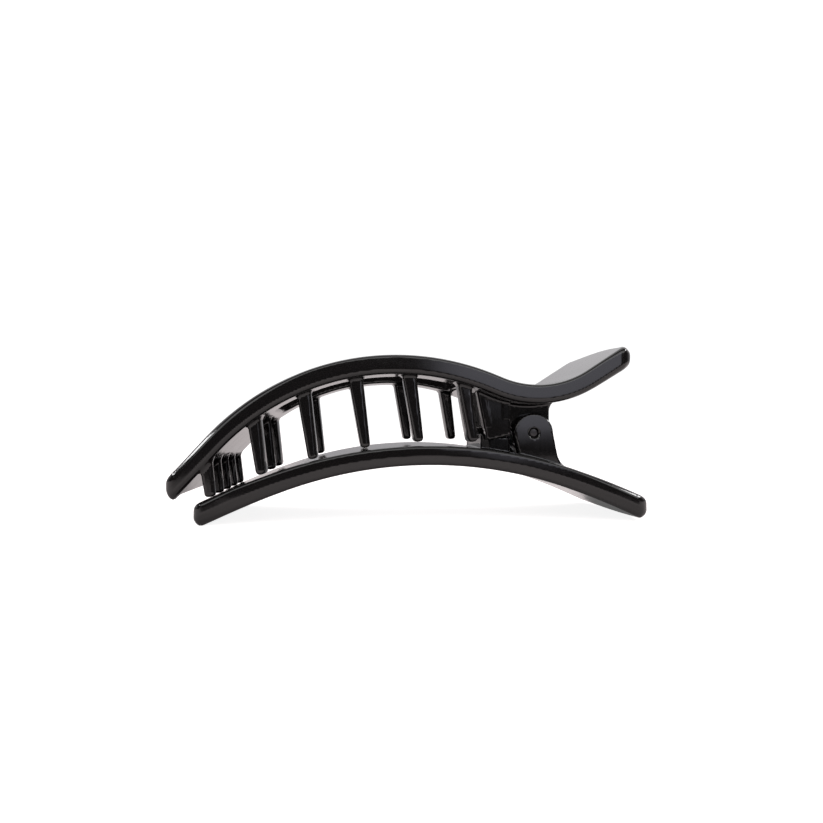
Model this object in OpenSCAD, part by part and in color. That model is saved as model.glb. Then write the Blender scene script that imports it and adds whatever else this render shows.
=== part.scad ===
// Flat alligator hair clip: a toothed, windowed upper jaw hinged on a solid bowed lower jaw.
// Millimetres. +X runs towards the handles, +Y across the clip and +Z up.
// Lengths along X are given from the crown of the upper jaw. Everything is moved at the end, so
// that the origin lies on the resting surface below the middle of the bounding box.

/* [Plates] */
// Width of both jaws
jaw_w = 36; // [32:0.5:40]
// Thickness of both plates
plate_t = 4.4; // [4:0.1:4.8]
// Radius of the moulded corners seen from the side
edge_r = 1.9; // [1.2:0.1:2.1]
// Radius of the plates' corners seen from above
corner_r = 3.5; // [2:0.5:4]
// How far the middle of a handle's end stands out past its corners
handle_bulge = 2.3; // [0.5:0.1:3]

/* [Upper jaw] */
// Height of the crown's top surface
crown_z = 38.4; // [37.5:0.1:39.5]
// Radius of the arch's top surface, ahead of the crown
arch_r = 58.8; // [57:0.2:62]
// Slope at which the arch passes into the nose's straight
nose_slope = 47.5; // [46:0.5:49]
// Front end of the nose, from the crown
nose_x = -51.9; // [-52.5:0.1:-51]
// Radius of the arch's top surface, behind the crown
back_r = 60.5; // [58:0.5:62]
// Downward slope behind the arch
back_slope = 22; // [20:1:24]
// Length of the straight behind the arch
back_len = 1.8; // [1:0.1:3]
// Radius of the waist's top surface, above the hinge
waist_r = 21.5; // [20:0.5:24]
// Upward slope of the press handle
handle_slope = 33; // [30:1:35]
// Rear end of the press handle, from the crown
handle_x = 56.6; // [55:0.1:57.5]
// Extra thickness that the press handle and both ends of the lower jaw gain
end_swell = 0.6; // [0:0.1:0.8]

/* [Window] */
// Front end of the window, from the crown
window_front = -28.6; // [-30:0.1:-28]
// Rear end of the window, from the crown
window_rear = 15.9; // [14:0.1:16.5]
// Width of the rim beside the window
rim_w = 8.5; // [8:0.1:9.5]
// Corner radius of the window
window_r = 3; // [1:0.5:4]

/* [Teeth] */
// Width of a tooth at its tip
tip_w = 2; // [1.6:0.1:2.2]
// Draft on each side of a tooth, in degrees
draft = 2; // [1:0.5:2.5]
// Lean of the teeth towards the hinge at their tips, in degrees
lean = 8; // [5:0.5:9]
// Depth across the clip of the teeth beside the window
rim_tooth_d = 5.5; // [4:0.1:6.5]
// Depth across the clip of the slim teeth of the front row
slim_tooth_d = 2.2; // [1.6:0.1:3]
// Distance from the clip's side to the outermost teeth
tooth_inset = 0.8; // [0.4:0.1:1.2]
// Tip of the front row, from the crown
front_row_x = -41.9; // [-42.5:0.1:-41]
// Tip of the first pair beside the window, from the crown
first_pair_x = -30.7; // [-31.2:0.1:-30.3]
// Pitch of the first two pairs beside the window
pair_pitch = 11.6; // [11.4:0.1:11.7]
// How much the pitch grows from each pair to the next
pitch_growth = 0.3; // [0.1:0.05:0.35]
// Gaps under the tips when closed, from the front row to the last pair
tip_gaps = [0.15, 0.6, 0.4, 0.6, 0.95, 1.4]; // [0.1:0.05:1.6]

/* [Lower jaw] */
// Distance of the lower jaw's crown behind the upper jaw's
bow_x = 7.4; // [7:0.1:7.8]
// Radius of the bow's top surface
bow_r = 103.5; // [101:0.5:107]
// Slope at which the bow passes into its straighter ends
bow_slope = 19; // [18:0.5:20]
// Radius of the straighter ends' top surface
end_r = 180; // [150:5:220]
// Slope at both ends
end_slope = 24; // [23:0.5:25]
// Half the length of the lower jaw
lower_reach = 53.2; // [52.2:0.1:54]

/* [Hinge] */
// Pin axis, from the crown
pin_x = 33.2; // [32.8:0.1:33.5]
// Height of the pin axis
pin_z = 20.6; // [20.1:0.1:21.1]
// Diameter of the pin
pin_d = 2.2; // [2:0.1:2.4]
// Radial clearance of the pin in the upper jaw's ears
pin_clearance = 0.06; // [0.03:0.01:0.09]
// Radius of the outer ears round the pin
outer_ear_r = 4.7; // [4.4:0.1:4.9]
// Radius of the inner ears round the pin
inner_ear_r = 3.7; // [3.4:0.1:4]
// Distance across the outer faces of the outer ears
ears_w = 24.4; // [23:0.2:25]
// Thickness of the outer ears
outer_ear_t = 3; // [2.6:0.1:3.2]
// Thickness of the inner ears
inner_ear_t = 2.4; // [2:0.1:2.6]
// Side gap between parts that pass each other
side_gap = 0.25; // [0.2:0.05:0.3]
// Thickness of the housing's walls
wall_t = 2; // [1.6:0.1:2.2]

/* [Spring] */
// Diameter of the spring wire
wire_d = 1; // [0.8:0.1:1.1]
// Mean radius of the coil
coil_r = 2.5; // [2.3:0.1:2.7]
// Whole turns of the coil
turns = 5; // [4:1:6]
// Length of the coil along the pin
coil_len = 9.6; // [8:0.2:10]

/* [Hidden] */
$fn = 48;

black = [0.07, 0.07, 0.08];
steel = [0.75, 0.76, 0.78];
step = 1.6;               // longest chord along a plate's curve
corner_steps = 5;         // chords in a rounded corner
far = 150;                // longer than the clip
pin = [pin_x, pin_z];
half_w = jaw_w / 2;

// ---- paths: each place is [x, z, slope in degrees] ----
function normal(h) = [-sin(h), cos(h)];
function along(h) = [cos(h), sin(h)];
function xz(p) = [p[0], p[1]];
function last(v) = v[len(v) - 1];
function reversed(v) = [for (i = [len(v) - 1 : -1 : 0]) v[i]];

// Arc from place p to slope h. A positive radius has its centre below.
function arc(p, r, h) =
    let (n = ceil(abs(h - p[2]) * PI / 180 * abs(r) / step), c = xz(p) - r * normal(p[2]))
    [for (i = [1 : n]) let (a = p[2] + (h - p[2]) * i / n, q = c + r * normal(a)) [q[0], q[1], a]];

function straight(p, length) =
    let (q = xz(p) + length * along(p[2])) [[q[0], q[1], p[2]]];

// Polygon from corners [x, y, radius], each rounded by its radius
function round_one(a, b, c, r) =
    let (u = (a - b) / norm(a - b), w = (c - b) / norm(c - b),
         half = acos(u * w) / 2,
         m = b + (u + w) / norm(u + w) * r / sin(half),
         s = b + u * r / tan(half) - m,
         e = b + w * r / tan(half) - m,
         a0 = atan2(s[1], s[0]),
         turn = atan2(s[0] * e[1] - s[1] * e[0], s * e))
    [for (i = [0 : corner_steps]) m + r * along(a0 + turn * i / corner_steps)];

function rounded(v) =
    [for (i = [0 : len(v) - 1])
        for (q = v[i][2] > 0
            ? round_one(xz(v[(i + len(v) - 1) % len(v)]), xz(v[i]), xz(v[(i + 1) % len(v)]), v[i][2])
            : [xz(v[i])]) q];

function sharp(points) = [for (p = points) [p[0], p[1], 0]];
function with_radius(p, r) = [p[0], p[1], r];

// Point on the line through q at slope h, at distance x from the crown
function reach(q, h, x) = [x, q[1] + (x - q[0]) * tan(h)];
function ramp(v, low, high) = min(1, max(0, (v - low) / (high - low)));

// ---- upper jaw, from the side ----
// Both ends are cut upright. The extra thickness of the handle is on its underside.
crown = [0, crown_z - plate_t / 2, 0];
arch = arc(crown, arch_r - plate_t / 2, nose_slope);
arch_back = arc(crown, back_r - plate_t / 2, -back_slope);
back = straight(last(arch_back), back_len);
waist = arc(last(back), -(waist_r + plate_t / 2), handle_slope);
bent = concat(reversed(arch), [crown], arch_back, back, waist);

function above(p) = xz(p) + plate_t / 2 * normal(p[2]);
function below(p) = xz(p) - plate_t / 2 * normal(p[2]);

upper_side = rounded(concat(
    [with_radius(reach(below(bent[0]), nose_slope, nose_x), edge_r),
     with_radius(reach(above(bent[0]), nose_slope, nose_x), 2)],
    sharp([for (p = bent) above(p)]),
    [with_radius(reach(above(last(bent)), handle_slope, handle_x), edge_r),
     with_radius(reach(below(last(bent)), handle_slope, handle_x) - [0, end_swell], edge_r)],
    sharp([for (p = reversed(bent)) below(p)])));
upper_mid = concat(straight(bent[0], -8), bent, straight(last(bent), 10));

// ---- lower jaw, from the side ----
// Its crown is as high as it has to be for both ends to stand on the resting surface. The extra
// thickness is shared by both faces.
bow_crown = [bow_x, 0, 0];
bow_front = arc(bow_crown, bow_r - plate_t / 2, bow_slope);
front_end = arc(last(bow_front), end_r - plate_t / 2, end_slope);
bow_back = arc(bow_crown, bow_r - plate_t / 2, -bow_slope);
rear_end = arc(last(bow_back), end_r - plate_t / 2, -end_slope);
lower_path = concat(reversed(front_end), reversed(bow_front), [bow_crown], bow_back, rear_end);

function half_t(p) = (plate_t + end_swell * pow(ramp(abs(p[0] - bow_x), 0, 48), 2)) / 2;
function top_of(p) = xz(p) + half_t(p) * normal(p[2]);
function bottom_of(p) = xz(p) - half_t(p) * normal(p[2]);

lower_outline = rounded(concat(
    [with_radius(reach(top_of(lower_path[0]), end_slope, bow_x - lower_reach), edge_r)],
    sharp([for (p = lower_path) top_of(p)]),
    [with_radius(reach(top_of(last(lower_path)), -end_slope, bow_x + lower_reach), edge_r),
     with_radius(reach(bottom_of(last(lower_path)), -end_slope, bow_x + lower_reach), edge_r)],
    sharp([for (p = reversed(lower_path)) bottom_of(p)]),
    [with_radius(reach(bottom_of(lower_path[0]), end_slope, bow_x - lower_reach), edge_r)]));
rise = -min([for (p = lower_outline) p[1]]);
lower_side = [for (p = lower_outline) p + [0, rise]];
lower_mid = [for (p = lower_path) [p[0], p[1] + rise, p[2]]];

// Middle of the bounding box, seen from the crown
mid_x = (nose_x + bow_x + lower_reach) / 2;

// Heights of the plates' middles, and of the lower jaw's top surface, at a distance from the crown
function upper_z(x) = lookup(x, [for (p = upper_mid) xz(p)]);
function lower_z(x) = lookup(x, [for (p = lower_mid) xz(p)]);
function lower_top(x) = lookup(x, [for (p = lower_mid) top_of(p)]);

// ---- helpers that place solids ----
module in_frame() { translate([-mid_x, 0, 0]) children(); }

// Solid of a side outline, from y0 to y1
module slab(outline, y0, y1) {
    translate([0, y1, 0]) rotate([90, 0, 0]) linear_extrude(y1 - y0) polygon(outline);
}

module both_sides() {
    children();
    mirror([0, 1, 0]) children();
}

module cross_hole(r, length) {
    translate([pin_x, length / 2, pin_z]) rotate([90, 0, 0]) cylinder(r = r, h = length);
}

// Plan of a plate from x0 to x1: straight across the front, slightly crowned across the handle
module plan(x0, x1) {
    crowned = [for (s = [-0.7 : 0.2 : 0.71]) [x1 - handle_bulge * s * s, s * half_w, 0]];
    linear_extrude(far) polygon(rounded(concat(
        [[x0, half_w, corner_r - 1], [x0, -half_w, corner_r - 1], [x1 - handle_bulge, -half_w, corner_r]],
        crowned, [[x1 - handle_bulge, half_w, corner_r]])));
}

// Leaning tapered tooth with a round tip at [x, z], its root at the upper jaw's middle
module tooth(x, z, y0, y1) {
    length = (upper_z(x - (upper_z(x) - z) * tan(lean)) - z) / cos(lean);
    root = tip_w / 2 + length * tan(draft);
    side = rounded([[-tip_w / 2, 0, 0.85], [tip_w / 2, 0, 0.85], [root, length, 0], [-root, length, 0]]);
    slab([for (p = side) [x + p[0] * cos(lean) - p[1] * sin(lean), z + p[0] * sin(lean) + p[1] * cos(lean)]],
        y0, y1);
}

// Height of a tip at x. Station 0 is the front row.
function tip_z(x, station) = lower_top(x) + tip_gaps[station];

module front_row() {
    first = -half_w + tooth_inset;
    row_pitch = (jaw_w - 2 * tooth_inset - slim_tooth_d) / 4;
    for (i = [0 : 4])
        tooth(front_row_x, tip_z(front_row_x, 0), first + i * row_pitch, first + i * row_pitch + slim_tooth_d);
}

module rim_pairs() {
    for (i = [0 : 4]) {
        x = first_pair_x + i * pair_pitch + i * (i - 1) / 2 * pitch_growth;
        both_sides() tooth(x, tip_z(x, i + 1), -half_w + tooth_inset, -half_w + tooth_inset + rim_tooth_d);
    }
}

module middle_tooth() {
    tooth(first_pair_x, tip_z(first_pair_x, 1), -slim_tooth_d / 2, slim_tooth_d / 2);
}

// ---- upper jaw ----
housing_front_x = 19;                      // front edge of the housing at the plate
foot = [21.8, pin_z - 2];                  // front corner of its foot
housing_rear_x = 27.4;
cross_wall_z = pin_z + 3;                  // lower edge of the wall that carries the inner ears
inner_ear_face = ears_w / 2 - outer_ear_t - side_gap;

module upper_plate() {
    intersection() {
        slab(upper_side, -half_w, half_w);
        plan(nose_x, handle_x);
    }
}

module window() {
    w = half_w - rim_w;
    linear_extrude(far) polygon(rounded([[window_front, -w, window_r], [window_rear, -w, window_r],
        [window_rear, w, window_r], [window_front, w, window_r]]));
}

module housing_sides() {
    outline = rounded([[housing_front_x, upper_z(housing_front_x), 0], with_radius(foot, 0.8),
        [housing_rear_x, foot[1] + 1.4, 0.8], [housing_rear_x, upper_z(housing_rear_x), 0]]);
    both_sides() slab(outline, -ears_w / 2, -ears_w / 2 + wall_t + 0.6);
}

// Cross walls: the slanting front one and the one that carries the inner ears
module housing_cross_walls() {
    top = upper_z(housing_front_x);
    z = pin_z + 1.2;
    x = housing_front_x + (foot[0] - housing_front_x) * (top - z) / (top - foot[1]);
    slab([[housing_front_x, top], [x, z], [x + wall_t, z], [housing_front_x + wall_t, top - 1]],
        -ears_w / 2, ears_w / 2);
    rear = housing_rear_x;
    slab([[rear - wall_t, upper_z(rear)], [rear - wall_t, cross_wall_z], [rear, cross_wall_z],
        [rear, upper_z(rear)]], -ears_w / 2, ears_w / 2);
}

module inner_ears() {
    right = pin_x + inner_ear_r + 1;
    left = pin_x - inner_ear_r;
    outline = rounded([[right, pin_z, 0], [right, upper_z(right) - plate_t / 2 - 0.1, 2.2],
        [right + 4.2, upper_z(right + 4.2) - plate_t / 2 + 0.1, 0], [right + 4.2, upper_z(right + 4.2), 0],
        [pin_x, upper_z(pin_x), 0], [housing_rear_x - wall_t, upper_z(housing_rear_x), 0],
        [housing_rear_x - wall_t, cross_wall_z, 0], [left, pin_z, 0]]);
    both_sides() {
        slab(outline, -inner_ear_face, -inner_ear_face + inner_ear_t);
        translate([pin_x, -inner_ear_face + inner_ear_t, pin_z]) rotate([90, 0, 0])
            cylinder(r = inner_ear_r, h = inner_ear_t);
    }
}

module upper_jaw() {
    color(black) in_frame() difference() {
        union() {
            difference() { upper_plate(); window(); }
            front_row();
            rim_pairs();
            middle_tooth();
            housing_sides();
            housing_cross_walls();
            inner_ears();
        }
        cross_hole(pin_d / 2 + pin_clearance, ears_w - outer_ear_t);
    }
}

// ---- lower jaw ----
module lower_plate() {
    intersection() {
        slab(lower_side, -half_w, half_w);
        plan(bow_x - lower_reach, bow_x + lower_reach);
    }
}

module outer_ears() {
    foot_left = pin_x - 3.1;
    foot_right = pin_x + 6.1;
    outline = rounded([[pin_x - outer_ear_r, pin_z, 0], [foot_left, lower_z(foot_left), 0],
        [foot_right + 4, lower_z(foot_right + 4), 0],
        [foot_right + 4, lower_top(foot_right + 4) - 0.1, 0], [foot_right, lower_top(foot_right), 3],
        [pin_x + outer_ear_r, pin_z, 0]]);
    both_sides() {
        slab(outline, -ears_w / 2, -ears_w / 2 + outer_ear_t);
        translate([pin_x, -ears_w / 2 + outer_ear_t, pin_z]) rotate([90, 0, 0])
            cylinder(r = outer_ear_r, h = outer_ear_t);
    }
}

// Low box that stands inside the upper jaw's housing when the clip is closed
module spring_box() {
    front = 21;
    rear = pin_x - outer_ear_r - 0.3;
    face = ears_w / 2 - wall_t - 0.6 - 2 * side_gap;
    top = pin_z - 0.3;
    both_sides() slab([[front, top], [front, lower_z(front)], [rear, lower_z(rear)], [rear, top - 1]],
        -face, -face + wall_t);
    slab([[front, top], [front, lower_z(front)], [front + wall_t, lower_z(front)], [front + wall_t, top]],
        -face, face);
}

module countersinks() {
    both_sides() translate([pin_x, -ears_w / 2 + 0.5, pin_z]) rotate([90, 0, 0])
        cylinder(r1 = pin_d / 2, r2 = pin_d / 2 + 0.6, h = 0.6);
}

module lower_jaw() {
    color(black) in_frame() difference() {
        union() {
            lower_plate();
            outer_ears();
            spring_box();
        }
        cross_hole(pin_d / 2, ears_w + 2);
        countersinks();
    }
}

// ---- hinge pin ----
module hinge_pin() {
    color(steel) in_frame() cross_hole(pin_d / 2, ears_w - 1.2);
}

// ---- torsion spring ----
// Each leg leaves the coil on its front side and slants back, to press on a plate behind the pin.
leg_in = 135;
leg_out = 225 + 360 * turns;
turn_steps = 16;
coil_steps = turn_steps * turns + 4;
wire_sides = 8;

function leg_length(way) =
    let (start = pin + coil_r * along(way > 0 ? leg_in : leg_out), x = start[0] + 4.9)
    ((way > 0 ? upper_z(x) - plate_t / 2 - start[1] : start[1] - lower_top(x)) - wire_d) * sqrt(2);

function coil_point(i) =
    let (s = i / coil_steps, p = pin + coil_r * along(leg_in + (leg_out - leg_in) * s))
    [p[0], coil_len * (s - 0.5), p[1]];

function wire_path() =
    let (first = coil_point(0), final = coil_point(coil_steps), d = 1 / sqrt(2))
    concat([first + leg_length(1) * [d, 0, d]], [for (i = [0 : coil_steps]) coil_point(i)],
        [final + leg_length(-1) * [d, 0, -d]]);

function wire_ring(path, i) =
    let (t = path[min(i + 1, len(path) - 1)] - path[max(i - 1, 0)],
         u = cross(t, [0, 1, 0]) / norm(cross(t, [0, 1, 0])), w = cross(u, t) / norm(t))
    [for (k = [0 : wire_sides - 1])
        path[i] + wire_d / 2 * (cos(360 * k / wire_sides) * u + sin(360 * k / wire_sides) * w)];

module torsion_spring() {
    path = wire_path();
    rings = len(path);
    points = [for (i = [0 : rings - 1]) for (q = wire_ring(path, i)) q];
    sides = [for (i = [0 : rings - 2]) for (k = [0 : wire_sides - 1])
        let (a = i * wire_sides + k, b = i * wire_sides + (k + 1) % wire_sides)
        [a, b, b + wire_sides, a + wire_sides]];
    ends = [[for (k = [wire_sides - 1 : -1 : 0]) k],
        [for (k = [0 : wire_sides - 1]) (rings - 1) * wire_sides + k]];
    color(steel) in_frame() polyhedron(points, concat(sides, ends));
}

upper_jaw();
lower_jaw();
hinge_pin();
torsion_spring();
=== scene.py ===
"""Looks of the flat alligator hair clip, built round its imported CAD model.

Both jaws are meshed from distance fields, so that their moulded edges and fillets are real geometry.
Lengths are millimetres from the upper jaw's crown until a mesh is made, as in the CAD. The stage and
the camera at the end are in metres.
"""
import math

import bpy
import numpy as np
from mathutils import Euler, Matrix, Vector


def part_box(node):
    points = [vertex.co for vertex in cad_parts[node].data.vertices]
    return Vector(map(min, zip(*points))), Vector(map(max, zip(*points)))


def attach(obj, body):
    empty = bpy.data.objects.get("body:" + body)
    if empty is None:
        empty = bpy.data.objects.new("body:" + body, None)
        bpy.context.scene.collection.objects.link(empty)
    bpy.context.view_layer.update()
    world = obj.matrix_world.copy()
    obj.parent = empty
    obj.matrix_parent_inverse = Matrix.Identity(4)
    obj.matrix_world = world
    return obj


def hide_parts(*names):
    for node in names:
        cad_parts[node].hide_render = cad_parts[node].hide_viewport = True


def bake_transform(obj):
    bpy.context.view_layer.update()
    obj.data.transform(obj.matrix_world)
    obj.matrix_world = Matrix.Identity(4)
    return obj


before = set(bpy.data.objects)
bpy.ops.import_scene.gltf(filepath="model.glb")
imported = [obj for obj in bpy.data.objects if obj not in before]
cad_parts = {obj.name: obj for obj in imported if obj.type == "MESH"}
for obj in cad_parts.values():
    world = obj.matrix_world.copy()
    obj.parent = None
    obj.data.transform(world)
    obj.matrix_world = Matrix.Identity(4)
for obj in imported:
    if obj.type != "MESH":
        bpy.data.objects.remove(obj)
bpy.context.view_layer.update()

MM = 0.001
pin_low, pin_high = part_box("hinge_pin")
PIN_X = 33.2                                       # from the crown to the pin
PIN_Z = (pin_low.z + pin_high.z) / 2 / MM
MID_X = PIN_X - (pin_low.x + pin_high.x) / 2 / MM  # from the crown to the frame's middle
VOXEL = 0.4
FAR, ENDLESS = 60.0, 1e6                           # distance away from all shapes, and end of a long straight

# ---- sizes, as in the CAD ----
HALF_W = 18.0
PLATE_T, END_SWELL = 4.4, 0.6                      # plate, and what the lower one gains at its ends
SWELL_X, HANDLE_SWELL = 45.3, 0.48                 # the upper handle's gain, a little less than in the CAD
NOSE_X, HANDLE_X, HANDLE_BULGE = -51.9, 56.6, 2.3
CROWN_TOP, FRONT_R, BACK_R = 38.4, 58.8, 60.5      # top face of the upper jaw, on both sides of its crown
DIP_R, DIP_LINE = 21.5, 1.8                        # the dip before the handle, and the straight above it
BOW_X, LOWER_REACH, BOW_R, TAIL_R, SWELL_REACH = 7.4, 53.2, 103.5, 180, 48
RIM_W, WINDOW_FRONT, WINDOW_REAR, WINDOW_R = 8.5, -28.6, 15.9, 3.0
EARS_W, OUTER_EAR_T, INNER_EAR_T, SIDE_GAP, WALL_T = 24.4, 3.0, 2.4, 0.25, 2.0
OUTER_EAR_R, INNER_EAR_R, PIN_D, PIN_CLEARANCE = 4.7, 3.7, 2.2, 0.06
LEAN, DRAFT, TIP_HALF, TIP_R = math.radians(8), math.radians(1.7), 1.2, 0.85
TIP_GAPS = (0.15, 0.6, 0.4, 0.6, 0.95, 1.4)        # under the tips, from the front row to the last pair
FRONT_ROW_X, FIRST_PAIR_X, PAIR_PITCH, PITCH_GROWTH = -41.9, -30.7, 11.6, 0.3
SLIM_D, RIM_TOOTH_D, TOOTH_INSET = 2.2, 5.5, 0.8
HOUSING_X, HOUSING_REAR, HOUSING_T = 19.0, 27.4, WALL_T + 0.6
FOOT, FOOT_R, FOOT_RISE = (21.8, PIN_Z - 2), 0.8, 1.4  # its lowest front corner, and the rear one's rise
CROSS_WALL_Z = (PIN_Z + 1.2, PIN_Z + 3)            # bottoms of its front and rear cross walls
SPRING_BOX_X = 21.0                                # front of the lower jaw's walls round the spring
INNER_FACE = EARS_W / 2 - OUTER_EAR_T - SIDE_GAP
WIRE_D, COIL_R, COIL_TURNS, COIL_LENGTH = 1.0, 2.5, 5, 9.6
LEG_REACH = 4.9                                    # from the coil's ends to where the legs touch the handles

# ---- moulded edges and drafts, which the CAD leaves out ----
EDGE, END_EDGE = 0.7, 1.9      # along the sides and round both ends
END_SHARE = 0.35               # how far the sides take on the ends' rounder edge beside them
FADE_FROM, FADE_TO = 9, 3      # where that starts and is complete, from an end
NOSE_GAIN, TAIL_GAIN = 0.9, 0.7  # how much rounder the top edges get at the nose and the lower handle
NOSE_FADE, TAIL_FADE = (20, 42), (40, 56)  # where that starts and is complete, before and behind the crown
REAR_CORNER_R, FRONT_CORNER_R = 3.5, 2.5
STRAIGHT_FROM = 0.7            # share of the half width from which a handle's end is straight in plan
TURN = 1.25                    # the upper jaw's side turns under this far below mid-thickness
UPPER_LEANS = (0.07, 0.44)     # lean of its side for each millimetre, above and below the turn
LOWER_LEANS = (0.08, 0.05)     # lean of the lower jaw's side, above and below mid-thickness
FACE_DRAFT, DRAFT_LIMIT = 0.05, 16  # how far upright faces draw in for each millimetre, and up to what height
HOUSING_DRAFT, EAR_DRAFT, EAR_BEND = 0.03, 0.01, 0.0038  # the last is for each square millimetre
EAR_FOOT_Z, BOX_FOOT_Z = 13.0, 14.0  # heights from which the outer ears and the spring's walls draw in
FULLNESS = 0.03                # how much a tooth's flanks draw in towards its edges, per square millimetre
WALL_EDGE, EAR_EDGE, BOX_EDGE, WINDOW_EDGE = 0.4, 0.35, 0.3, 0.5
ROOT_FILLET, EAR_FILLET, CROSS_FILLET, BOX_FILLET = 0.8, 0.5, 0.4, 0.3
UPPER_HOLE_EDGE, LOWER_HOLE_EDGE = 0.2, 0.12
PIN_SINK = 0.6                 # chamfer round the pin's ends


# ---- centrelines: arcs and straights that follow each other ----
class Centreline:
    """Pieces of a plate's middle, seen from the side, with their ranges of heading or distance."""

    def __init__(self, x, z, heading):
        self.pieces, self.x, self.z, self.h = [], x, z, heading

    def arc(self, r, heading):
        """A positive radius has its centre below."""
        cx, cz = self.x + r * math.sin(self.h), self.z - r * math.cos(self.h)
        self.pieces.append(("arc", cx, cz, r, min(self.h, heading), max(self.h, heading)))
        self.x, self.z, self.h = cx - r * math.sin(heading), cz + r * math.cos(heading), heading
        return self

    def line(self, low, high):
        """A straight from low to high along the heading. The path goes on from its end, if it has one."""
        self.pieces.append(("line", self.x, self.z, self.h, low, high))
        if low == 0 and high < ENDLESS:
            self.x += high * math.cos(self.h)
            self.z += high * math.sin(self.h)
        return self

    def distance(self, x, z):
        """Signed distance to the middle, positive above it."""
        x, z = np.broadcast_arrays(x, z)
        best = np.full(x.shape, FAR, np.float32)
        for kind, px, pz, shape, low, high in self.pieces:
            if kind == "arc":
                side = 1 if shape > 0 else -1
                vx, vz = (x - px) * side, (z - pz) * side
                n = (np.hypot(vx, vz) - abs(shape)) * side
                along = np.arctan2(-vx, vz)
            else:
                n = -(x - px) * math.sin(shape) + (z - pz) * math.cos(shape)
                along = (x - px) * math.cos(shape) + (z - pz) * math.sin(shape)
            slack = 1e-4
            take = (along >= low - slack) & (along <= high + slack) & (np.abs(n) < np.abs(best))
            best = np.where(take, n, best)
        return best

    def height(self, x):
        """Height of the middle at x."""
        return halved(lambda z: self.distance(np.array([x]), np.array([z]))[0] < 0, -20.0, 80.0)


def halved(inside, low, high):
    """The height between low and high where inside(height) turns false."""
    for _ in range(40):
        mid = (low + high) / 2
        low, high = (mid, high) if inside(mid) else (low, mid)
    return low


nose_slope, back_slope, handle_slope, bow_slope, end_slope = map(math.radians, (47.5, -22, 33, 19, 24))
CROWN_Z = CROWN_TOP - PLATE_T / 2
upper_front = Centreline(0, CROWN_Z, 0).arc(FRONT_R - PLATE_T / 2, nose_slope).line(-ENDLESS, 0)
upper_rear = (Centreline(0, CROWN_Z, 0).arc(BACK_R - PLATE_T / 2, back_slope).line(0, DIP_LINE)
              .arc(-(DIP_R + PLATE_T / 2), handle_slope).line(0, ENDLESS))
upper_mid = Centreline(0, 0, 0)
upper_mid.pieces = upper_front.pieces + upper_rear.pieces


def bow(crown_z):
    """The lower jaw's middle, with its crown at the given height."""
    path = Centreline(0, 0, 0)
    for way in (1, -1):
        half = Centreline(BOW_X, crown_z, 0).arc(BOW_R - PLATE_T / 2, way * bow_slope)
        half.arc(TAIL_R - PLATE_T / 2, way * end_slope).line(*((-ENDLESS, 0) if way > 0 else (0, ENDLESS)))
        path.pieces += half.pieces
    return path


# The crown is as high as it has to be for both rounded ends to stand on the floor.
END_T = (PLATE_T + END_SWELL) / 2
corner_z = (bow(0).height(BOW_X - LOWER_REACH) - END_T / math.cos(end_slope)
            + END_EDGE / math.cos(end_slope) + END_EDGE * math.tan(end_slope) - END_EDGE)
lower_mid = bow(-corner_z)


def ramp(v, low, high):
    """0 up to low, 1 from high, and straight between them."""
    return np.clip((v - low) / (high - low), 0, 1)


def lower_half_t(x):
    """Half of the lower jaw's thickness at x."""
    return (PLATE_T + END_SWELL * ramp(np.abs(x - BOW_X), 0, SWELL_REACH) ** 2) / 2


def lower_top(x):
    """Height of the lower jaw's top surface at x."""
    return halved(lambda z: lower_mid.distance(np.array([x]), np.array([z]))[0] < lower_half_t(x), 0.0, 40.0)


# ---- distance fields ----
def both(a, b, r):
    """Intersection with a rounded edge."""
    u, w = a + r, b + r
    return np.hypot(np.maximum(u, 0), np.maximum(w, 0)) + np.minimum(np.maximum(u, w), 0) - r


def either(a, b, r):
    """Union with a fillet."""
    return -both(-a, -b, r)


def cut(a, b, r):
    """What is left of a outside b, with a rounded edge."""
    return both(a, -b, r)


def only(a, b, r):
    """The first shape in an empty field."""
    return b


def soft(n):
    """|n| with a slightly blunt corner."""
    return np.sqrt(n * n + 0.02)


def folded(side, n, above, below):
    """A side face that leans in above and below n = 0, by two slopes."""
    return side + above / 2 * (soft(n) + n) + below / 2 * (soft(n) - n)


def polygon(x, z, corners):
    """Signed distance to a polygon, negative inside."""
    x, z = np.broadcast_arrays(x, z)
    best, inside = np.full(x.shape, 1e9), np.zeros(x.shape, bool)
    for (ax, az), (bx, bz) in zip(corners, corners[1:] + corners[:1]):
        ex, ez, wx, wz = bx - ax, bz - az, x - ax, z - az
        t = np.clip((wx * ex + wz * ez) / (ex * ex + ez * ez), 0, 1)
        best = np.minimum(best, (wx - ex * t) ** 2 + (wz - ez * t) ** 2)
        if abs(ez) > 1e-9:
            crosses = ((az <= z) & (z < bz)) | ((bz <= z) & (z < az))
            inside ^= crosses & (x < ax + ex * (z - az) / ez)
    return np.where(inside, -1, 1) * np.sqrt(best)


def rounded(corners):
    """Corners [x, z, radius], each replaced by an arc of its radius."""
    out = []
    for i, (bx, bz, r) in enumerate(corners):
        if r <= 0:
            out.append((bx, bz))
            continue
        b = np.array([bx, bz])
        u, w = (np.array(corners[j % len(corners)][:2]) - b for j in (i - 1, i + 1))
        u, w = u / np.linalg.norm(u), w / np.linalg.norm(w)
        half = math.acos(float(np.clip(u @ w, -1, 1))) / 2
        middle = b + (u + w) / np.linalg.norm(u + w) * r / math.sin(half)
        start, stop = b + u * r / math.tan(half) - middle, b + w * r / math.tan(half) - middle
        first = math.atan2(start[1], start[0])
        turn = math.atan2(start[0] * stop[1] - start[1] * stop[0], start @ stop)
        for k in range(9):
            a = first + turn * k / 8
            out.append((middle[0] + r * math.cos(a), middle[1] + r * math.sin(a)))
    return out


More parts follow.
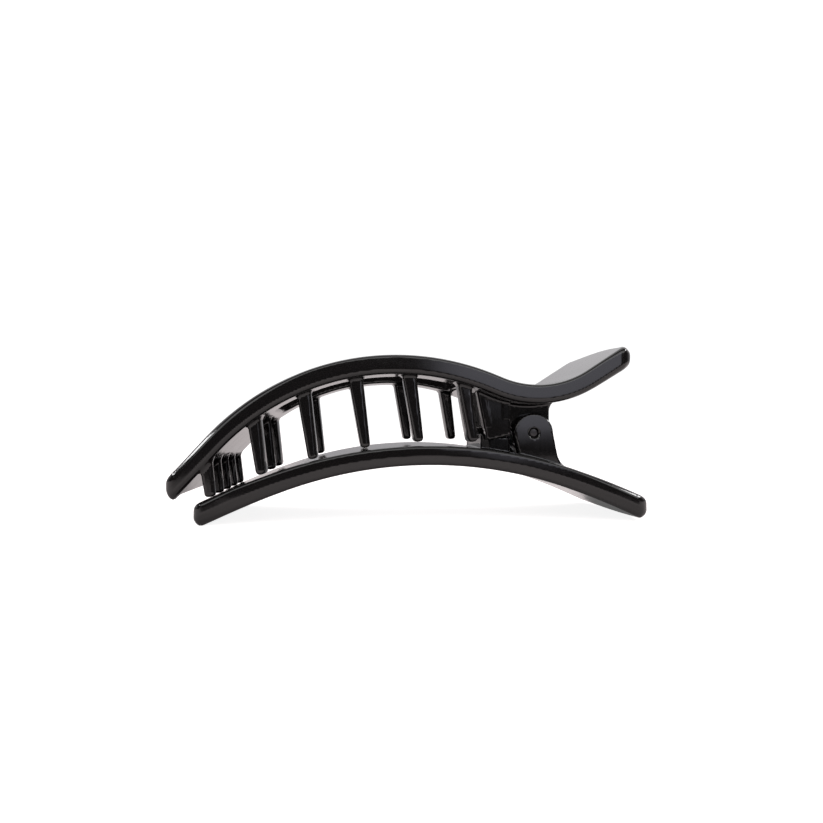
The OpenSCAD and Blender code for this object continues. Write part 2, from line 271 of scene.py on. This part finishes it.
class Field:
    """Values of a distance field, on a grid or at loose points. Each shape is worked out in its own block."""

    def __init__(self, x, y, z, grid):
        self.x, self.y, self.z, self.grid = x, y, z, grid
        self.d = np.full(np.broadcast_shapes(x.shape, y.shape, z.shape), FAR, np.float32)

    def block(self, low, high):
        """Where the field lies between two corners, and its coordinates there."""
        ranges = list(zip((self.x, self.y, self.z), low, high))
        if self.grid:
            cuts = [slice(*np.searchsorted(v.ravel(), (a, b))) for v, a, b in ranges]
            return tuple(cuts), self.x[cuts[0]], self.y[:, cuts[1]], self.z[:, :, cuts[2]]
        take = np.ones(self.x.shape, bool)
        for v, a, b in ranges:
            take &= (v >= a) & (v <= b)
        return take, self.x[take], self.y[take], self.z[take]

    def apply(self, how, shape, low=(-99, -99, -99), high=(99, 99, 99), r=0.0, pad=3.0):
        """Combines the field with a shape, in the shape's block and a little round it."""
        where, x, y, z = self.block([v - pad for v in low], [v + pad for v in high])
        if x.size and y.size and z.size:
            self.d[where] = how(self.d[where], shape(x, y, z).astype(np.float32), r)


def oblique(a, b, r, c):
    """Intersection of two faces whose normals have the dot product c, with an edge of radius r."""
    u, w = a + r, b + r
    corner = (u > c * w) & (w > c * u)
    to_corner = np.sqrt(np.maximum(u * u + w * w - 2 * c * u * w, 0) / (1 - c * c))
    return np.where(corner, to_corner, np.maximum(u, w)) - r


def plate(middle, half_t, swell, fold, x0, x1, slopes, top_edge):
    """A jaw's plate: its slab cut to its plan, with rounded edges and sides that lean in from a fold line.

    The fold is the line's depth below mid-thickness and the slopes above and below it.
    """
    def shape(x, y, z):
        n = middle.distance(x, z)
        s = np.minimum(np.abs(y) / HALF_W, 1.1)
        sweep = HANDLE_BULGE * 2 * np.minimum(s, STRAIGHT_FROM) / HALF_W
        bulge = HANDLE_BULGE * np.where(s < STRAIGHT_FROM, s * s, STRAIGHT_FROM * (2 * s - STRAIGHT_FROM))
        side = folded(np.abs(y) - HALF_W, n + fold[0], *fold[1])
        at_rear = x > (x0 + x1) / 2
        end = np.where(at_rear, (x - x1 + bulge) / np.sqrt(1 + sweep ** 2), x0 - x)
        size = np.where(at_rear, REAR_CORNER_R, FRONT_CORNER_R)
        tilt = np.where(at_rear, sweep / np.sqrt(1 + sweep ** 2), 0.0)
        outline = oblique(end, side, size, tilt)
        u, w = end + size - tilt * (side + size), side + size - tilt * (end + size)
        share = np.where((u > 0) & (w > 0), u / np.maximum(np.hypot(u, w), 1e-6), u > w)
        lean = share * np.where(at_rear, -math.sin(slopes[1]), math.sin(slopes[0]))
        near = np.maximum(ramp(x, x1 - FADE_FROM, x1 - FADE_TO), ramp(-x, -x0 - FADE_FROM, -x0 - FADE_TO))
        r = EDGE + (END_EDGE - EDGE) * near * np.maximum(share, END_SHARE)
        return np.maximum(oblique(n - half_t(x), outline, np.maximum(r, top_edge(x)), lean),
                          oblique(-n - half_t(x) - swell(x), outline, r, -lean))
    return shape


def bar(outline, y0, y1, r=WALL_EDGE, foot=None, draft=FACE_DRAFT, bend=0.0):
    """A side outline from y0 to y1, with rounded edges. The clip is the same on both sides of y = 0.

    The outer face draws in above its foot, where one is given, and more with height where it bends.
    """
    def shape(x, y, z):
        off = np.abs(y) - (y0 + y1) / 2
        across = np.abs(off) - (y1 - y0) / 2
        if foot is not None:
            above = np.clip(z - foot, 0, DRAFT_LIMIT)
            across = across + (draft * above + bend * above ** 2) * (off > 0)
        return both(outline(x, z), across, r)
    return shape


def wall(corners, y0, y1, r=WALL_EDGE, **faces):
    """A bar whose side outline is a polygon."""
    return bar(lambda x, z: polygon(x, z, corners), y0, y1, r, **faces)


def tooth(x0, z0, y0, y1):
    """A leaning tapered tooth with a round tip. Returns its shape and block."""
    root = upper_mid.height(x0 - (upper_mid.height(x0) - z0) * math.tan(LEAN))
    length = (root - z0) / math.cos(LEAN)

    def shape(x, y, z):
        u = (x - x0) * math.cos(LEAN) + (z - z0) * math.sin(LEAN)
        v = -(x - x0) * math.sin(LEAN) + (z - z0) * math.cos(LEAN)
        flank = (np.abs(u) - TIP_HALF - np.maximum(v, 0) * math.tan(DRAFT)) * math.cos(DRAFT)
        off = np.abs(y) - (y0 + y1) / 2
        side = both(flank + FULLNESS * off * off, -v, TIP_R)
        across = np.abs(off) - (y1 - y0) / 2 + FACE_DRAFT * np.clip(v, 0, DRAFT_LIMIT) * (off > 0)
        return np.maximum(both(side, across, EDGE), v - length)
    low = (x0 - length * math.sin(LEAN) - 3, -y1, z0)
    return shape, low, (x0 + 2, y1, root)


def pin_hole(r, sink=0.0):
    """Room of radius r round the pin's axis, widened by up to sink at the outer faces of the ears."""
    def shape(x, y, z):
        return np.hypot(x - PIN_X, z - PIN_Z) - r - np.clip(np.abs(y) - EARS_W / 2 + sink, 0, sink)
    return shape


# Blocks in which the holes for the pin, and the walls and ears round it, are worked out.
PIN_BLOCK = (PIN_X - 3, -EARS_W, PIN_Z - 3), (PIN_X + 3, EARS_W, PIN_Z + 3)
UPPER_BLOCK = (HOUSING_X - 1, -EARS_W / 2, PIN_Z - 4), (PIN_X + 9, EARS_W / 2, 34)
LOWER_BLOCK = (19, -EARS_W / 2, 8), (PIN_X + 10, EARS_W / 2, PIN_Z + 5)


# ---- upper jaw ----
def tip_height(x, station):
    """Height of the tips at x, which clear the lower jaw by their station's gap."""
    return lower_top(x) + TIP_GAPS[station]


def upper_teeth():
    """Half of the front row, a tooth of each pair, and the slim one between the first pair."""
    outer = HALF_W - TOOTH_INSET
    row_pitch = (2 * outer - SLIM_D) / 4
    z = tip_height(FRONT_ROW_X, 0)
    for i in range(3):
        middle = i * row_pitch
        yield tooth(FRONT_ROW_X, z, middle - SLIM_D / 2, middle + SLIM_D / 2)
    for i in range(5):
        x = FIRST_PAIR_X + i * PAIR_PITCH + i * (i - 1) / 2 * PITCH_GROWTH
        yield tooth(x, tip_height(x, i + 1), outer - RIM_TOOTH_D, outer)
    yield tooth(FIRST_PAIR_X, tip_height(FIRST_PAIR_X, 1), -SLIM_D / 2, SLIM_D / 2)


def inner_ear(x, z):
    """Side outline of an inner ear: round the pin, with a hollow curve behind it up to the plate."""
    right, left = PIN_X + INNER_EAR_R + 1, PIN_X - INNER_EAR_R
    reach, hollow_r = 4.2, 3.2
    front = HOUSING_REAR - WALL_T
    under = [upper_mid.height(v) - PLATE_T / 2 for v in (right, right + reach)]
    corners = rounded([
        (right, PIN_Z, 0), (right, under[0] - 0.1, hollow_r), (right + reach, under[1] + 0.1, 0),
        (right + reach, under[1] + PLATE_T / 2, 0), (PIN_X, upper_mid.height(PIN_X), 0),
        (front, upper_mid.height(front), 0), (front, CROSS_WALL_Z[1], 0), (left, PIN_Z, 0)])
    return np.minimum(polygon(x, z, corners), np.hypot(x - PIN_X, z - PIN_Z) - INNER_EAR_R)


def housing(field):
    """Two side walls and two cross walls under the plate, and the inner ears behind them."""
    top, rear_top = upper_mid.height(HOUSING_X), upper_mid.height(HOUSING_REAR)
    side = rounded([(HOUSING_X, top, 0), (*FOOT, FOOT_R), (HOUSING_REAR, FOOT[1] + FOOT_RISE, FOOT_R),
                    (HOUSING_REAR, rear_top, 0)])
    side_wall = wall(side, EARS_W / 2 - HOUSING_T, EARS_W / 2, foot=FOOT[1], draft=HOUSING_DRAFT)
    field.apply(either, side_wall, *UPPER_BLOCK, EAR_FILLET)
    z, rear_z = CROSS_WALL_Z
    x = HOUSING_X + (FOOT[0] - HOUSING_X) * (top - z) / (top - FOOT[1])
    front = [(HOUSING_X, top), (x, z), (x + WALL_T, z), (HOUSING_X + WALL_T, top - 1)]
    rear = [(HOUSING_REAR - WALL_T, rear_top), (HOUSING_REAR - WALL_T, rear_z),
            (HOUSING_REAR, rear_z), (HOUSING_REAR, rear_top)]
    reach = EARS_W / 2 - WALL_EDGE
    for corners in (front, rear):
        field.apply(either, wall(corners, -reach, reach), *UPPER_BLOCK, CROSS_FILLET)
    ear = bar(inner_ear, INNER_FACE - INNER_EAR_T, INNER_FACE)
    field.apply(either, ear, *UPPER_BLOCK, EAR_FILLET)


def window(x, y, z):
    """The long opening in the upper jaw, from far below to far above."""
    middle, reach = (WINDOW_FRONT + WINDOW_REAR) / 2, (WINDOW_REAR - WINDOW_FRONT) / 2
    return both(np.abs(x - middle) - reach, np.abs(y) - HALF_W + RIM_W, WINDOW_R) + 0 * z


def upper_jaw(field):
    """Plate, window, teeth, housing and holes of the upper jaw."""
    swell = lambda x: HANDLE_SWELL * ramp(x, SWELL_X, HANDLE_X)
    field.apply(only, plate(upper_mid, lambda x: PLATE_T / 2, swell, (TURN, UPPER_LEANS), NOSE_X,
                            HANDLE_X, (nose_slope, handle_slope),
                            lambda x: EDGE + NOSE_GAIN * ramp(-x, *NOSE_FADE)))
    field.apply(cut, window, (WINDOW_FRONT, -10, 0), (WINDOW_REAR, 10, 60), WINDOW_EDGE)
    for shape, low, high in upper_teeth():
        field.apply(either, shape, low, high, ROOT_FILLET)
    housing(field)
    field.apply(cut, pin_hole(PIN_D / 2 + PIN_CLEARANCE), *PIN_BLOCK, UPPER_HOLE_EDGE)


# ---- lower jaw ----
def outer_ear(x, z):
    """Side outline of an outer ear: round the pin, with a hollow curve behind it down to the plate."""
    left, right, hollow_r = PIN_X - 3.1, PIN_X + 6.1, 5
    tail = right + 4
    corners = rounded([
        (PIN_X - OUTER_EAR_R, PIN_Z, 0), (left, lower_mid.height(left), 0), (tail, lower_mid.height(tail), 0),
        (tail, lower_top(tail) - 0.1, 0), (right, lower_top(right), hollow_r),
        (PIN_X + OUTER_EAR_R, PIN_Z, 0)])
    return np.minimum(polygon(x, z, corners), np.hypot(x - PIN_X, z - PIN_Z) - OUTER_EAR_R)


def spring_box(field):
    """Two low side walls in front of the outer ears, and a cross wall between them."""
    front, inner = SPRING_BOX_X, SPRING_BOX_X + WALL_T
    rear, top = PIN_X - OUTER_EAR_R - 0.3, PIN_Z - 0.3
    face = EARS_W / 2 - HOUSING_T - 2 * SIDE_GAP
    floor = lower_mid.height(front)
    side = [(front, top), (front, floor), (rear, lower_mid.height(rear)), (rear, top - 1)]
    across = [(front, top), (front, floor), (inner, floor), (inner, top)]
    field.apply(either, wall(side, face - WALL_T, face, BOX_EDGE, foot=BOX_FOOT_Z), *LOWER_BLOCK, BOX_FILLET)
    field.apply(either, wall(across, -face, face), *LOWER_BLOCK, BOX_FILLET)


def lower_jaw(field):
    """Plate, ears, spring box and holes of the lower jaw, cut flat where it stands on the floor."""
    field.apply(only, plate(lower_mid, lower_half_t, lambda x: 0.0, (0.0, LOWER_LEANS), BOW_X - LOWER_REACH,
                            BOW_X + LOWER_REACH, (end_slope, -end_slope),
                            lambda x: EDGE + TAIL_GAIN * ramp(x, *TAIL_FADE)))
    ear = bar(outer_ear, EARS_W / 2 - OUTER_EAR_T, EARS_W / 2, EAR_EDGE, EAR_FOOT_Z, EAR_DRAFT, EAR_BEND)
    field.apply(either, ear, *LOWER_BLOCK, EAR_FILLET)
    spring_box(field)
    field.apply(cut, pin_hole(PIN_D / 2, PIN_SINK), *PIN_BLOCK, LOWER_HOLE_EDGE)
    field.apply(cut, lambda x, y, z: z + 0 * x, (-99, -99, -9), (99, 99, 0.5))


# ---- from field to mesh ----
def surface_net(values, origin, step):
    """One vertex in each cell that the surface crosses, and one quad for each crossed grid edge."""
    inside = values < 0
    cells = tuple(n - 1 for n in values.shape)
    total, count = np.zeros(cells + (3,), np.float32), np.zeros(cells, np.int8)
    corner = lambda a, i, j, k: a[i:i + cells[0], j:j + cells[1], k:k + cells[2]]
    for axis in range(3):
        others = [a for a in range(3) if a != axis]
        for p in (0, 1):
            for q in (0, 1):
                at = [0, 0, 0]
                at[others[0]], at[others[1]] = p, q
                to = list(at)
                to[axis] = 1
                v0, v1 = corner(values, *at), corner(values, *to)
                crossed = corner(inside, *at) != corner(inside, *to)
                t = np.where(crossed, v0 / np.where(crossed, v0 - v1, 1), 0)
                for a in range(3):
                    total[..., a] += np.where(crossed, t if a == axis else at[a], 0)
                count += crossed
    used = count > 0
    number = np.full(cells, -1, np.int64)
    number[used] = np.arange(used.sum())
    places = np.argwhere(used) + total[used] / count[used][:, None]
    points = np.array(origin) + places * step
    quads = []
    for axis in range(3):
        a, b = [v for v in range(3) if v != axis]
        if axis == 1:
            a, b = b, a
        low = [slice(1, -1)] * 3
        low[axis] = slice(0, -1)
        high = list(low)
        high[axis] = slice(1, None)
        first, second = inside[tuple(low)], inside[tuple(high)]
        edges = np.argwhere(first != second) + [0 if v == axis else 1 for v in range(3)]
        leaving = inside[tuple(edges.T)]
        ring = []
        for da, db in ((1, 1), (0, 1), (0, 0), (1, 0)):
            cell = edges.copy()
            cell[:, a] -= da
            cell[:, b] -= db
            ring.append(number[tuple(cell.T)])
        ring = np.stack(ring, 1)
        ring[~leaving] = ring[~leaving][:, ::-1]
        quads.append(ring)
    return points, np.concatenate(quads)


def field_at(build, points):
    """The field's values at loose points."""
    f = Field(points[:, 0], points[:, 1], points[:, 2], False)
    build(f)
    return f.d.astype(float)


def gradient(build, points, h=0.02):
    """The field's gradient at loose points, by central differences."""
    g = np.empty_like(points)
    for a in range(3):
        offset = np.zeros(3)
        offset[a] = h
        g[:, a] = (field_at(build, points + offset) - field_at(build, points - offset)) / (2 * h)
    return g


def mesh_piece(name, points, faces, material, normals=None):
    """A mesh object from millimetres seen from the crown."""
    mesh = bpy.data.meshes.new(name)
    mesh.from_pydata(((points - np.array([MID_X, 0, 0])) * MM).tolist(), [], faces)
    mesh.polygons.foreach_set("use_smooth", [True] * len(mesh.polygons))
    if normals is not None:
        mesh.normals_split_custom_set_from_vertices(normals.tolist())
    mesh.materials.append(material)
    mesh.validate()
    piece = bpy.data.objects.new(name, mesh)
    bpy.context.scene.collection.objects.link(piece)
    return piece


def jaw_piece(name, build, node, material):
    """A jaw meshed in its node's box, with its vertices and normals moved onto the exact surface."""
    low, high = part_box(node)
    lo = np.array([low.x / MM + MID_X, low.y / MM, low.z / MM]) - 2 * VOXEL
    hi = np.array([high.x / MM + MID_X, high.y / MM, high.z / MM]) + 2 * VOXEL
    counts = np.ceil((hi - lo) / VOXEL).astype(int) + 1
    counts[1] += counts[1] % 2
    lo[1] = -(counts[1] - 1) / 2 * VOXEL            # the grid is the same on both sides
    x, y, z = (lo[a] + VOXEL * np.arange(counts[a]) for a in range(3))
    grid = Field(x[:, None, None], y[None, :, None], z[None, None, :], True)
    build(grid)
    points, quads = surface_net(grid.d, lo, VOXEL)
    for _ in range(3):
        g = gradient(build, points)
        size = np.maximum((g * g).sum(1), 0.25)
        move = (field_at(build, points) / size)[:, None] * g
        length = np.maximum(np.linalg.norm(move, axis=1), 1e-9)
        points = points - move * np.minimum(1, 0.5 * VOXEL / length)[:, None]
    g = gradient(build, points)
    normals = g / np.maximum(np.linalg.norm(g, axis=1), 1e-9)[:, None]
    return mesh_piece(name, points, quads.tolist(), material, normals)


# ---- pin and spring ----
def tube_faces(rings, sides):
    """Faces round a row of rings of vertices, and one over each end."""
    faces = []
    for i in range(rings - 1):
        for k in range(sides):
            j = (k + 1) % sides
            faces.append([i * sides + k, i * sides + j, (i + 1) * sides + j, (i + 1) * sides + k])
    faces.append(list(reversed(range(sides))))
    faces.append([(rings - 1) * sides + k for k in range(sides)])
    return faces


def pin_piece(material):
    """A plain pin with chamfered, slightly domed ends."""
    half, sides = (pin_high.y - pin_low.y) / MM / 2, 64
    dome = ((0.3, 0), (0.72, 0.02), (0.8, 0.06), (0.97, 0.3), (1, 0.42))  # share of the radius, depth
    rings = [(PIN_D / 2 * share, half - depth) for share, depth in dome]
    rings += [(r, -y) for r, y in reversed(rings)]
    points = []
    for r, y in rings:
        for k in range(sides):
            t = 2 * math.pi * k / sides
            points.append((PIN_X + r * math.cos(t), y, PIN_Z + r * math.sin(t)))
    return mesh_piece("hinge_pin_steel", np.array(points), tube_faces(len(rings), sides), material)


def spring_path():
    """The wire's middle: a coil round the pin, with a leg up to the upper handle and one down."""
    leg_in, leg_out = math.radians(135), math.radians(225 + 360 * COIL_TURNS)
    coil = []
    for share in np.linspace(0, 1, 40 * COIL_TURNS + 1):
        a = leg_in + (leg_out - leg_in) * share
        coil.append((PIN_X + COIL_R * math.cos(a), COIL_LENGTH * (share - 0.5), PIN_Z + COIL_R * math.sin(a)))
    legs = []
    for (x, y, z), up in ((coil[0], 1), (coil[-1], -1)):
        foot = x + LEG_REACH
        room = upper_mid.height(foot) - PLATE_T / 2 - z if up > 0 else z - lower_top(foot)
        steps = (room - WIRE_D) * np.arange(1, 9) / 8
        legs.append([(x + step, y, z + up * step) for step in steps])
    return np.array(list(reversed(legs[0])) + coil + legs[1])


def spring_piece(material):
    """Round wire along the spring's path."""
    path, sides, points = spring_path(), 16, []
    for p, t in zip(path, np.gradient(path, axis=0)):
        t = t / np.linalg.norm(t)
        u = np.cross(t, (0, 1, 0))
        u = u / np.linalg.norm(u)
        w = np.cross(t, u)
        for k in range(sides):
            a = 2 * math.pi * k / sides
            points.append(p + WIRE_D / 2 * (math.cos(a) * u + math.sin(a) * w))
    return mesh_piece("torsion_spring_wire", np.array(points), tube_faces(len(path), sides), material)


# ---- materials ----
def new_material(name):
    """A material with its nodes, its links and its shader."""
    material = bpy.data.materials.new(name)
    material.use_nodes = True
    nodes, links = material.node_tree.nodes, material.node_tree.links
    return material, nodes, links, nodes["Principled BSDF"]


def noise(nodes, links, scale, detail, stretch=(1, 1, 1)):
    """Noise that stays with the piece, finer along an axis with a larger stretch."""
    kinds = ("ShaderNodeTexCoord", "ShaderNodeMapping", "ShaderNodeTexNoise")
    place, mapping, texture = (nodes.new(kind) for kind in kinds)
    mapping.inputs["Scale"].default_value = stretch
    texture.inputs["Scale"].default_value = scale
    texture.inputs["Detail"].default_value = detail
    links.new(place.outputs["Object"], mapping.inputs["Vector"])
    links.new(mapping.outputs["Vector"], texture.inputs["Vector"])
    return texture.outputs["Fac"]


def connect(links, socket, colour):
    """Links a colour socket to another one, or gives it a fixed colour."""
    if isinstance(colour, tuple):
        socket.default_value = (*colour, 1)
    else:
        links.new(colour, socket)


def ranged(nodes, links, value, low, high, out=(0.0, 1.0), kind="SMOOTHSTEP"):
    """A value's way from low to high, stretched to the range out."""
    node = nodes.new("ShaderNodeMapRange")
    node.interpolation_type = kind
    for name, number in zip(("From Min", "From Max", "To Min", "To Max"), (low, high, *out)):
        node.inputs[name].default_value = number
    links.new(value, node.inputs["Value"])
    return node.outputs["Result"]


def spread(nodes, links, value, low, high):
    """A noise value spread over the range from low to high."""
    return ranged(nodes, links, value, 0.3, 0.7, (low, high), "LINEAR")


def mixed(nodes, links, value, a, b):
    """A colour between a and b, which are colours or sockets."""
    node = nodes.new("ShaderNodeMix")
    node.data_type = "RGBA"
    connect(links, node.inputs["A"], a)
    connect(links, node.inputs["B"], b)
    links.new(value, node.inputs["Factor"])
    return node.outputs["Result"]


def bumped(nodes, links, shader, value, strength, distance):
    """Raises and lowers a shader's surface by a value."""
    bump = nodes.new("ShaderNodeBump")
    bump.inputs["Strength"].default_value = strength
    bump.inputs["Distance"].default_value = distance
    links.new(value, bump.inputs["Height"])
    links.new(bump.outputs["Normal"], shader.inputs["Normal"])


def plastic_material():
    """Polished black moulding: faint flow marks and slow waves from shrinkage under the gloss."""
    material, nodes, links, shader = new_material("polished_black_plastic")
    flow = noise(nodes, links, 60, 3, (0.35, 1, 1))
    fine = noise(nodes, links, 900, 4)
    links.new(spread(nodes, links, fine, 0.07, 0.11), shader.inputs["Roughness"])
    links.new(mixed(nodes, links, flow, (0.0042, 0.0036, 0.0036), (0.0062, 0.0054, 0.0054)),
              shader.inputs["Base Color"])
    bumped(nodes, links, shader, noise(nodes, links, 130, 1, (0.5, 1, 1)), 0.12, 0.0006)
    shader.inputs["IOR"].default_value = 1.5
    return material


def steel_material(name, dark, light):
    """Drawn steel: fine lines round the wire and pin, with darker patches."""
    material, nodes, links, shader = new_material(name)
    lines = noise(nodes, links, 2500, 3, (1, 0.15, 1))
    patches = noise(nodes, links, 350, 3)
    links.new(mixed(nodes, links, patches, dark, light), shader.inputs["Base Color"])
    links.new(spread(nodes, links, lines, 0.24, 0.42), shader.inputs["Roughness"])
    bumped(nodes, links, shader, lines, 0.15, 0.00003)
    shader.inputs["Metallic"].default_value = 1
    return material


# ---- pieces ----
plastic = plastic_material()
steel = steel_material("drawn_steel", (0.42, 0.43, 0.45), (0.62, 0.63, 0.65))
black_steel = steel_material("blackened_steel", (0.035, 0.034, 0.036), (0.07, 0.068, 0.07))
upper = jaw_piece("upper_jaw_moulding", upper_jaw, "upper_jaw", plastic)
lower = jaw_piece("lower_jaw_moulding", lower_jaw, "lower_jaw", plastic)
pin = pin_piece(black_steel)
spring = spring_piece(steel)

rides = ((upper, "upper", "upper_jaw", "jaw_plastic"), (lower, "lower", "lower_jaw", "jaw_plastic"),
         (pin, "lower", "hinge_pin", "black_steel"))
for piece, body, node, slot in rides:
    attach(piece, body)
    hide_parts(node)
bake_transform(spring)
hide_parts("torsion_spring")


# ---- stage ----
def floor_piece():
    """A large plain floor. Its glow is stronger in the picture than in the clip's gloss."""
    reach, in_reflections, in_picture = 12.0, 0.15, 0.88
    corners = [(i * reach, j * reach, 0) for i, j in ((-1, -1), (1, -1), (1, 1), (-1, 1))]
    mesh = bpy.data.meshes.new("studio_floor")
    mesh.from_pydata(corners, [], [[0, 1, 2, 3]])
    material, nodes, links, shader = new_material("pale_floor")
    shader.inputs["Base Color"].default_value = (0.55, 0.5, 0.495, 1)
    shader.inputs["Roughness"].default_value = 0.9
    shader.inputs["Specular IOR Level"].default_value = 0.0
    seen, path = nodes.new("ShaderNodeMixShader"), nodes.new("ShaderNodeLightPath")
    links.new(path.outputs["Is Camera Ray"], seen.inputs["Fac"])
    for i, strength in enumerate((in_reflections, in_picture), 1):
        glow, total = nodes.new("ShaderNodeEmission"), nodes.new("ShaderNodeAddShader")
        glow.inputs["Strength"].default_value = strength
        links.new(shader.outputs["BSDF"], total.inputs[0])
        links.new(glow.outputs["Emission"], total.inputs[1])
        links.new(total.outputs["Shader"], seen.inputs[i])
    links.new(seen.outputs["Shader"], nodes["Material Output"].inputs["Surface"])
    mesh.materials.append(material)
    piece = bpy.data.objects.new("studio_floor", mesh)
    bpy.context.scene.collection.objects.link(piece)


def studio_world():
    """Bright behind the clip and dim in front of it, with a pale window there, and white in the picture."""
    world = bpy.data.worlds.new("studio")
    bpy.context.scene.world = world
    world.use_nodes = True
    nodes, links = world.node_tree.nodes, world.node_tree.links
    dim, low, high = (0.05, 0.05, 0.052), (0.42, 0.41, 0.425), (0.95, 0.93, 0.95)
    daylight, white = (1.45, 1.45, 1.65), (1.1, 1.1, 1.1)
    place, parts = nodes.new("ShaderNodeTexCoord"), nodes.new("ShaderNodeSeparateXYZ")
    links.new(place.outputs["Generated"], parts.inputs["Vector"])
    behind = ranged(nodes, links, parts.outputs["Y"], -0.25, 0.35)
    height = ranged(nodes, links, parts.outputs["Z"], 0.06, 0.4)
    back = mixed(nodes, links, height, low, high)
    room = mixed(nodes, links, behind, dim, back)

    azimuth, rise = math.radians(19), math.radians(15)
    toward = nodes.new("ShaderNodeVectorMath")
    toward.operation = "DOT_PRODUCT"
    toward.inputs[1].default_value = (math.sin(azimuth) * math.cos(rise),
                                      -math.cos(azimuth) * math.cos(rise), math.sin(rise))
    links.new(place.outputs["Generated"], toward.inputs[0])
    rim, middle = math.cos(math.radians(12)), math.cos(math.radians(4))
    pane = ranged(nodes, links, toward.outputs["Value"], rim, middle)
    lit_room = mixed(nodes, links, pane, room, daylight)

    path = nodes.new("ShaderNodeLightPath")
    seen = mixed(nodes, links, path.outputs["Is Camera Ray"], lit_room, white)
    links.new(seen, nodes["Background"].inputs["Color"])


def softbox(name, place, size, power, toward=(0, 0, 0)):
    """A rectangular lamp that faces the clip, or another place."""
    light = bpy.data.lights.new(name, "AREA")
    light.shape, light.size, light.size_y, light.energy = "RECTANGLE", size[0], size[1], power
    lamp = bpy.data.objects.new(name, light)
    lamp.location = place
    lamp.rotation_euler = (Vector(toward) - Vector(place)).to_track_quat("-Z", "Y").to_euler()
    lamp.visible_camera = False
    bpy.context.scene.collection.objects.link(lamp)


def soft_sky():
    """A very wide sun, from a little behind the zenith."""
    sky = bpy.data.lights.new("soft_sky", "SUN")
    sky.energy, sky.angle = 1.4, math.radians(80)
    lamp = bpy.data.objects.new("soft_sky", sky)
    lamp.rotation_euler = Euler((math.radians(-20), math.radians(4), 0))
    bpy.context.scene.collection.objects.link(lamp)


floor_piece()
studio_world()
soft_sky()
softbox("left_softbox", (-0.53, -0.04, 0.31), (0.35, 0.05), 0.9)
softbox("right_softbox", (0.5, -0.06, 0.33), (0.3, 0.07), 1.0)
softbox("front_softbox", (0, -0.17, 0.13), (0.5, 0.12), 0.36, (0, -0.1, 0))

# ---- camera, placed by the photo's perspective ----
camera = bpy.data.objects.new("camera", bpy.data.cameras.new("camera"))
bpy.context.scene.collection.objects.link(camera)
camera.location = (-0.01395, -0.146, 0.02199)
camera.rotation_euler = (math.radians(90), 0, math.radians(-3.3))
camera.data.lens, camera.data.sensor_width = 24.93, 36
camera.data.shift_x, camera.data.shift_y = 0.0287, 0.0188
camera.data.clip_start = 0.005
bpy.context.scene.camera = camera
bpy.context.scene.view_settings.view_transform = "Standard"
